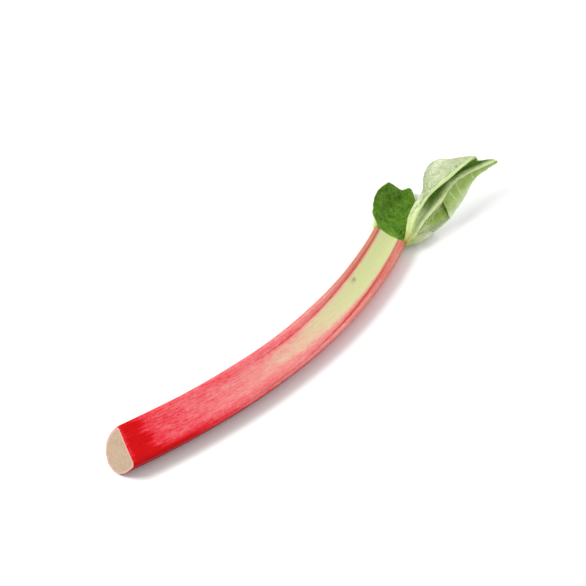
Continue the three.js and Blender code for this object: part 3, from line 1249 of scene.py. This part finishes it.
@dataclass
class Sheet:
    """A thin leaf sheet ruled over lines, with ribs and veins on its underside.

    Distances across are measured from the two held lines: from the first one up to
    the passage, and from the second one past it, so that the blade's grain stays
    square to its ribs.
    """

    name: str
    lines: tuple[Points, ...]
    across: int
    along: int
    ribs: tuple[Rib, ...] = ()
    veins: tuple[Vein, ...] = ()
    thickness: float = 0.8
    crinkle: float = 0.48
    ragged: float = 0.03
    round_corner: float = 0.10
    corner_lines: float = 0.7
    held: tuple[int, int] = (Line.UPPER_RIB.value, Line.LEFT_FLOOR.value)
    passage: tuple[float, float] = (6.0, 9.0)

    def blank(self) -> Piece:
        """Makes the slab and notes where each vertex belongs on it.

        Returns:
            The slab.
        """
        slab = Blank.slab(self.name, self.across, self.along)
        places = vertices_of(slab)
        self.column = np.rint(places[:, 0] * self.across).astype(int)
        self.row = np.rint(places[:, 1] * self.along).astype(int)
        self.outer = places[:, 2] > 0.5
        return slab

    def survey(self) -> None:
        """Works out the sheet's middle, its normals and its widths, in leaf axes."""
        u = np.linspace(0, 1, self.across + 1)
        v = np.linspace(0, 1, self.along + 1)
        count = len(self.lines) - 1
        self.u, self.v = np.meshgrid(u * count, v)
        spans = len(self.lines[0]) - 1
        rungs = np.stack([through(np.array(line, float), v * spans) for line in self.lines])
        full = np.moveaxis(through(rungs, u * count), 0, 1)
        self.middle = self.trimmed(full, count)
        du = np.gradient(self.middle, axis=1)
        dv = np.gradient(self.middle, axis=0)
        normal = -np.cross(du, dv)
        self.normal = normal / np.maximum(np.linalg.norm(normal, axis=2, keepdims=True), 1e-9)
        self.arc = np.cumsum(np.linalg.norm(du, axis=2), axis=1)
        self.run = np.cumsum(np.linalg.norm(dv, axis=2), axis=0)
        right, left = (self.arc[:, [round(line / count * self.across)]] for line in self.held)
        self.grain = self.arc - mix(right, left, smooth(self.u, *self.passage))

    def trimmed(self, full: Array, count: int) -> Array:
        """Draws the sheet back from its edge, which is ragged and round at its corners.

        Args:
            full: the sheet's points out to the ends of its lines.
            count: spans between its lines.

        Returns:
            The points of the trimmed sheet.
        """
        trim = 1 - self.ragged * (0.5 + 0.5 * ripple(self.u * 3.3, self.u * 1.9, 1.0))
        corner = np.minimum(self.u, count - self.u)
        trim = trim - self.round_corner * np.clip(1 - corner / self.corner_lines, 0, 1) ** 2
        at = np.clip(self.v * trim, 0, 1) * self.along
        low = np.clip(np.floor(at).astype(int), 0, self.along - 1)
        columns = np.arange(self.across + 1)[None, :]
        part = (at - low)[..., None]
        return full[low, columns] * (1 - part) + full[low + 1, columns] * part

    def rib_relief(self) -> tuple[Array, Array, Array]:
        """Adds the ribs up.

        Returns:
            The way each point moves, in leaf axes, and masks of the ribs and of the painted shade
            along both sides of each rib.
        """
        move = np.zeros_like(self.middle)
        mask = np.zeros(self.u.shape)
        foot = np.zeros(self.u.shape)
        ease = np.sqrt(self.v)
        for rib in self.ribs:
            column = round(rib.place / (len(self.lines) - 1) * self.across)
            width = mix(*rib.half_width, ease)
            depth = mix(*rib.depth, ease)
            off = np.abs(self.arc - self.arc[:, column : column + 1]) / width
            bump = np.exp(-1.1 * off**2.6)
            if rib.reach:
                bump = bump * np.sqrt(np.clip(1 - (self.middle[..., 0] / rib.reach) ** 6, 0, 1))
            way = self.normal[:, column : column + 1, :] if rib.lean is None else np.array(rib.lean)
            move += (bump * depth)[..., None] * way
            mask = np.maximum(mask, smooth(bump, 0.22, 0.55))
            # Painted shade: a thin line along both sides of each rib, where it meets the blade.
            foot = np.maximum(foot, smooth(bump, 0.01, 0.06) * (1 - smooth(bump, 0.10, 0.30)))
        return move, mask, foot

    def vein_mask(self) -> Array:
        """Marks the side veins.

        Returns:
            A grid that is 1 on their middle lines and 0 away from them.
        """
        mask = np.zeros(self.u.shape)
        lengthwise = np.gradient(self.run, axis=0) * self.along
        for vein in self.veins:
            reach = abs(vein.reach)
            gone = (self.u - vein.line) * math.copysign(1, vein.reach)
            centre = vein.start + vein.slope * gone + vein.bow * gone**2
            fade = smooth(gone, -0.05, 0.25) * (1 - smooth(gone, reach * 0.7, reach))
            width = vein.half_width * (1 - 0.45 * np.clip(gone / reach, 0, 1))
            off = np.abs(self.v - centre) * lengthwise / width
            mask = np.maximum(mask, np.exp(-(off**2)) * fade)
        return mask

    def spread(self, grid: Array) -> Array:
        """Reads a grid of the sheet at each vertex."""
        return grid[self.row, self.column]


@dataclass
class Leaf:
    """The trimmed leaf: its folded blade with ribs, and the lappet beside the lower rib."""

    lie: Lie
    root_reach: float = 12.0
    root_core: float = -9.0
    root_shrink: float = 0.02
    root_thickness: float = 0.5
    sunk: float = 0.4
    vein_height: float = 0.65
    vein_height_inside: float = 0.18
    lappet_vein_height: float = 0.3
    sides_apart: float = 3.0

    def build(self, material: bpy.types.Material) -> list[Piece]:
        """Makes the blade and the lappet."""
        return [self.blade(material), self.lappet(material)]

    def root_section(self, angle: Array, out: Array) -> Array:
        """The stalk's section carried on past its end.

        Args:
            angle: place round the outline.
            out: distance beyond the stalk's end.

        Returns:
            Points in leaf axes.
        """
        x, y = self.lie.section.outline(angle, np.ones_like(angle))
        shrink = 1 - self.root_shrink * smooth(out, 0, 3)
        x, y = x * shrink, self.root_core + (y - self.root_core) * shrink
        roll = self.lie.roll
        low = float(self.lie.read(1.0, self.lie.depths)) - self.lie.settled
        right = x * math.cos(roll) + y * math.sin(roll)
        rise = low + y * math.cos(roll) - x * math.sin(roll)
        return np.stack([out, right, np.maximum(rise, 0)], -1)

    def to_world(self, points: Array) -> Array:
        """Carries points from the leaf's axes to the stalk's end.

        Args:
            points: rows of forward, right and up.

        Returns:
            Rows of x, y and z, in metres.
        """
        start, forward, right = self.lie.leaf_axes()
        up = np.array([0, 0, 1.0])
        placed = start + points[:, :1] * forward + points[:, 1:2] * right
        placed = placed + np.maximum(points[:, 2:], 0) * up
        return placed * MM

    def blade(self, material: bpy.types.Material) -> Piece:
        """Makes the blade with its ribs, growing out of the stalk's section.

        Args:
            material: the leaf's finish.

        Returns:
            The finished piece.
        """
        sheet = Sheet("leaf_blade", tuple(LEAF_LINES.values()), 325, 136, RIBS, VEINS)
        piece = sheet.blank()
        sheet.survey()
        out = sheet.middle[..., 0]
        free = smooth(out, 0.5, self.root_reach)
        relief, ribs, rib_foot_shade = sheet.rib_relief()
        veins = sheet.vein_mask() * free * (1 - ribs)
        waves = ripple(sheet.grain * 0.5, sheet.run * 0.5, 2.0)
        waves = waves + 0.35 * ripple(sheet.grain * 1.1, sheet.run * 1.1, 3.1)
        quiet = (1 - ribs) * free * (1 - 0.6 * smooth(sheet.v, 0.8, 1.0))
        puff = (waves * sheet.crinkle * quiet)[..., None] * sheet.normal
        thick = mix(self.root_thickness, sheet.thickness, free)[..., None]
        inner = sheet.middle + puff - 0.5 * thick * sheet.normal
        outer = sheet.middle + puff + 0.5 * thick * sheet.normal + relief
        outer = outer + (self.vein_height * veins)[..., None] * sheet.normal
        inner = inner + (self.vein_height_inside * veins)[..., None] * sheet.normal
        inner, outer = self.rooted(sheet, inner, outer, free)
        points = np.where(sheet.outer[:, None], sheet.spread(outer), sheet.spread(inner))
        move_vertices(piece, self.to_world(points))
        rib_foot_shade = rib_foot_shade * smooth(sheet.v, 0.1, 0.3)
        masks = self.blade_masks(sheet, ribs, veins, rib_foot_shade)
        self.tint(piece, sheet, points, masks, rooted=True)
        finish_surface(piece, material)
        return piece

    def rooted(
        self, sheet: Sheet, inner: Array, outer: Array, free: Array
    ) -> tuple[Array, Array]:
        """Eases both sides of the blade into the stalk's section at its root.

        Args:
            sheet: the surveyed sheet.
            inner: points of the upper side.
            outer: points of the underside.
            free: how far each point is clear of the root, from 0 to 1.

        Returns:
            The points of the two sides.
        """
        out = sheet.middle[..., 0]
        count = np.arange(len(SEATS))
        shares = np.interp(sheet.u, count, [seat[0] for seat in SEATS])
        angles = np.radians(np.interp(sheet.u, count, [seat[1] for seat in SEATS]))
        face = self.root_section(2 * math.pi - np.arccos(np.clip(shares, -1, 1)), out - self.sunk)
        back = self.root_section(angles % (2 * math.pi), out - self.sunk)
        floor = smooth(sheet.u, 7.5, 9.0) * (1 - smooth(sheet.u, 11.5, 12.5))
        inner = mix(face, inner, mix(free, smooth(out, 0.4, 9.0), floor)[..., None])
        return inner, mix(back, outer, free[..., None])

    def lappet(self, material: bpy.types.Material) -> Piece:
        """Makes the lappet that hangs beside the lower rib.

        Args:
            material: the leaf's finish.

        Returns:
            The finished piece.
        """
        sheet = Sheet(
            "leaf_lappet", LAPPET_LINES, 90, 120, (), LAPPET_VEINS, ragged=0, round_corner=0,
            held=(0, 0),
        )
        piece = sheet.blank()
        sheet.survey()
        waves = ripple(sheet.grain * 0.5, sheet.run * 0.6, 5.0)
        puff = (waves * sheet.crinkle * smooth(sheet.u, 0.1, 0.6))[..., None] * sheet.normal
        side = np.where(sheet.outer, 0.5, -0.5)[:, None] * sheet.thickness
        veins = sheet.vein_mask()
        raised = sheet.middle + puff + (self.lappet_vein_height * veins)[..., None] * sheet.normal
        points = sheet.spread(raised) + side * sheet.spread(sheet.normal)
        move_vertices(piece, self.to_world(points))
        self.tint(piece, sheet, points, self.lappet_masks(sheet, veins), rooted=False)
        finish_surface(piece, material)
        return piece

    @staticmethod
    def blade_masks(sheet: Sheet, ribs: Array, veins: Array, rib_foot_shade: Array) -> dict[str, Array]:
        """Works out where the blade's underside is ribbed, veined, richer yellow-green or pale, and
        where shade and light are painted on it.

        Args:
            sheet: the surveyed sheet.
            ribs: mask of the ribs.
            veins: mask of the veins.
            rib_foot_shade: mask of the lines of painted shade beside the ribs.

        Returns:
            A grid for each name.
        """
        # Here u counts lines from the right margin, and v runs from the root to the edge.
        u, v = sheet.u, sheet.v
        valley = smooth(u, 2.2, 2.5) * (1 - smooth(u, 3.5, 3.95))
        panel = smooth(u, 4.0, 4.6) * (1 - smooth(u, 6.0, 7.0))
        # Painted shade: the slit between the panel and the lappet is painted a deeper yellow-green.
        gap_shade = hump(u, 5.9, 0.6) * smooth(v, 0.50, 0.75)
        # Painted light: the short rib's lobe is painted pale, as if lit, though it faces away from the
        # key light.
        lobe = hump(u, 7.3, 0.9) * (1 - smooth(sheet.middle[..., 0], 26, 34))
        flap = (1 - smooth(u, 1.2, 1.8)) * smooth(v, 0.65, 1.0)
        plain = 0.5 * hump(u, Line.LOWER_RIB.value, 0.6) * (1 - smooth(v, 0.25, 0.55))
        return {
            "rib": ribs * (1 - plain),
            "vein": veins,
            # Painted shade: the valley between the upper and lower ribs is painted dark olive towards
            # the trimmed edge.
            "fold_shade": np.maximum(0.95 * valley * smooth(v, 0.24, 0.50), 0.45 * rib_foot_shade),
            "lush_and_shade": 0.42 * panel + 0.5 * gap_shade,
            "pale": 0.75 * lobe + 0.45 * flap,
        }

    @staticmethod
    def lappet_masks(sheet: Sheet, veins: Array) -> dict[str, Array]:
        """Works out where the lappet's underside is veined, richer yellow-green or pale, and where
        shade is painted on it along the lower rib.

        Args:
            sheet: the surveyed sheet.
            veins: mask of the veins.

        Returns:
            A grid for each name.
        """
        return {
            "rib": np.zeros(sheet.u.shape),
            "vein": 0.45 * veins,
            # Painted shade along the edge that meets the lower rib.
            "fold_shade": 0.15 * (1 - smooth(sheet.u, 0.3, 1.0)),
            "lush_and_shade": mix(0.70, 0.20, smooth(sheet.u, 0.8, 1.9)),
            "pale": 0.35 * smooth(sheet.u, 1.4, 2.0),
        }

    def tint(
        self, piece: Piece, sheet: Sheet, points: Array, masks: dict[str, Array], rooted: bool
    ) -> None:
        """Stores the masks that the leaf's finish reads.

        Args:
            piece: the sheet's object.
            sheet: the surveyed sheet.
            points: the vertices in leaf axes.
            masks: the grids of its underside.
            rooted: whether it grows out of the stalk, with a yellow and brown root.
        """
        outer = sheet.outer.astype(float)
        out = points[:, 0]
        apart = self.sides_apart * outer
        flow = [sheet.spread(sheet.grain), sheet.spread(sheet.run), apart]
        paint(piece, "flow", np.stack(flow, 1) * MM)
        paint(piece, "under", outer)
        root = (1 - smooth(out, 4, 26)) * outer
        paint(piece, "rib", np.maximum(sheet.spread(masks["rib"]) * outer, root))
        paint(piece, "vein", sheet.spread(masks["vein"]) * (0.35 + 0.65 * outer))
        for name in ("fold_shade", "lush_and_shade", "pale"):
            paint(piece, name, sheet.spread(masks[name]) * outer)
        paint(piece, "cut_edge", sheet.spread(smooth(sheet.v, 0.985, 1.0)))
        on_root = outer * rooted
        fade = np.where(sheet.spread(sheet.u) < 2.6, 4.0, 1.5)
        paint(piece, "young", 0.85 * np.exp(-np.clip(out - 1, 0, None) / 8.0) * on_root)
        paint(piece, "tan", 0.9 * np.exp(-np.clip(out, 0, None) / fade) * on_root)


# ---------- the room ----------
@dataclass(frozen=True)
class SoftBox:
    """A square light that faces the middle of the table, its power in watts."""

    name: str
    place: Triple
    size: float
    power: float

    def hang(self) -> None:
        """Adds the light at its place."""
        place = Vector(self.place)
        Blank.clear()
        bpy.ops.object.light_add(type="AREA", location=place)
        light = bpy.context.object
        light.name = self.name
        light.data.energy = self.power
        light.data.size = self.size
        light.rotation_euler = place.to_track_quat("Z", "Y").to_euler()


@dataclass(frozen=True)
class Studio:
    """A pale table, even white surroundings, a soft key light and a broad weak one."""

    aim: Triple = (0.0036, 0.0308, 0.0)
    distance: float = 1.213
    azimuth: float = -50.0
    elevation: float = 45.0
    lens: float = 85.0
    table_size: float = 12.0
    surroundings: float = 0.73
    soft_boxes: tuple[SoftBox, ...] = (
        SoftBox("key", (-0.75, 0.75, 1.25), 0.7, 19.0),
        SoftBox("fill", (0.9, -0.9, 0.8), 1.6, 4.0),
    )

    def build(self) -> None:
        """Sets the table, the light and the camera."""
        self.table()
        self.light()
        self.camera()
        bpy.context.scene.view_settings.view_transform = "Standard"

    def table(self) -> None:
        """Lays a broad flat table that isn't part of the object."""
        Blank.clear()
        bpy.ops.mesh.primitive_plane_add(size=self.table_size, location=(0, 0, 0))
        table = bpy.context.object
        table.name = "table"
        table.data.materials.append(TableFinish().build())

    def light(self) -> None:
        """Sets even white light all round and hangs the soft boxes."""
        world = bpy.data.worlds.new("surroundings")
        world.use_nodes = True
        background = world.node_tree.nodes["Background"]
        background.inputs["Color"].default_value = (1, 1, 1, 1)
        background.inputs["Strength"].default_value = self.surroundings
        bpy.context.scene.world = world
        for soft_box in self.soft_boxes:
            soft_box.hang()

    def camera(self) -> None:
        """Sets a camera that looks down on the stalk along its length."""
        turn, rise = math.radians(self.azimuth), math.radians(self.elevation)
        level = math.cos(rise)
        back = Vector((math.sin(turn) * level, -math.cos(turn) * level, math.sin(rise)))
        Blank.clear()
        bpy.ops.object.camera_add(location=Vector(self.aim) + back * self.distance)
        camera = bpy.context.object
        camera.name = "camera"
        camera.data.lens = self.lens
        camera.rotation_euler = back.to_track_quat("Z", "Y").to_euler()
        bpy.context.scene.camera = camera


def seat_on_frame(lie: Lie) -> None:
    """Moves the stalk's start so that its widest reach meets the solid model's.

    Args:
        lie: how the stalk lies.
    """
    low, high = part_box("stalk")
    stations, turns = 81, 73
    along = np.repeat(np.linspace(0, 1, stations), turns)
    angle = np.tile(np.linspace(0, 2 * math.pi, turns), stations)
    points = lie.place(along, *lie.section.outline(angle, along))
    reach = [high.x / MM - points[:, 0].max(), low.y / MM - points[:, 1].min()]
    lie.start = lie.start + np.array(reach)


def main() -> None:
    """Builds the studio, then the stalk and its leaf, and reports each piece."""
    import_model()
    Studio().build()
    lie = Lie(Section())
    seat_on_frame(lie)
    stalk = Stalk(lie).build(SkinFinish().build())
    leaves = Leaf(lie).build(LeafFinish().build())
    pieces = [(stalk, "stalk", "stalk_skin")]
    pieces += [(leaf, "leaf", "leaf_green") for leaf in leaves]
    for piece, node, slot in pieces:
        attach(piece, "root")
        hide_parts(node)
        log.info("%s has %d faces", piece.name, len(piece.data.polygons))


if __name__ == "__main__":
    main()
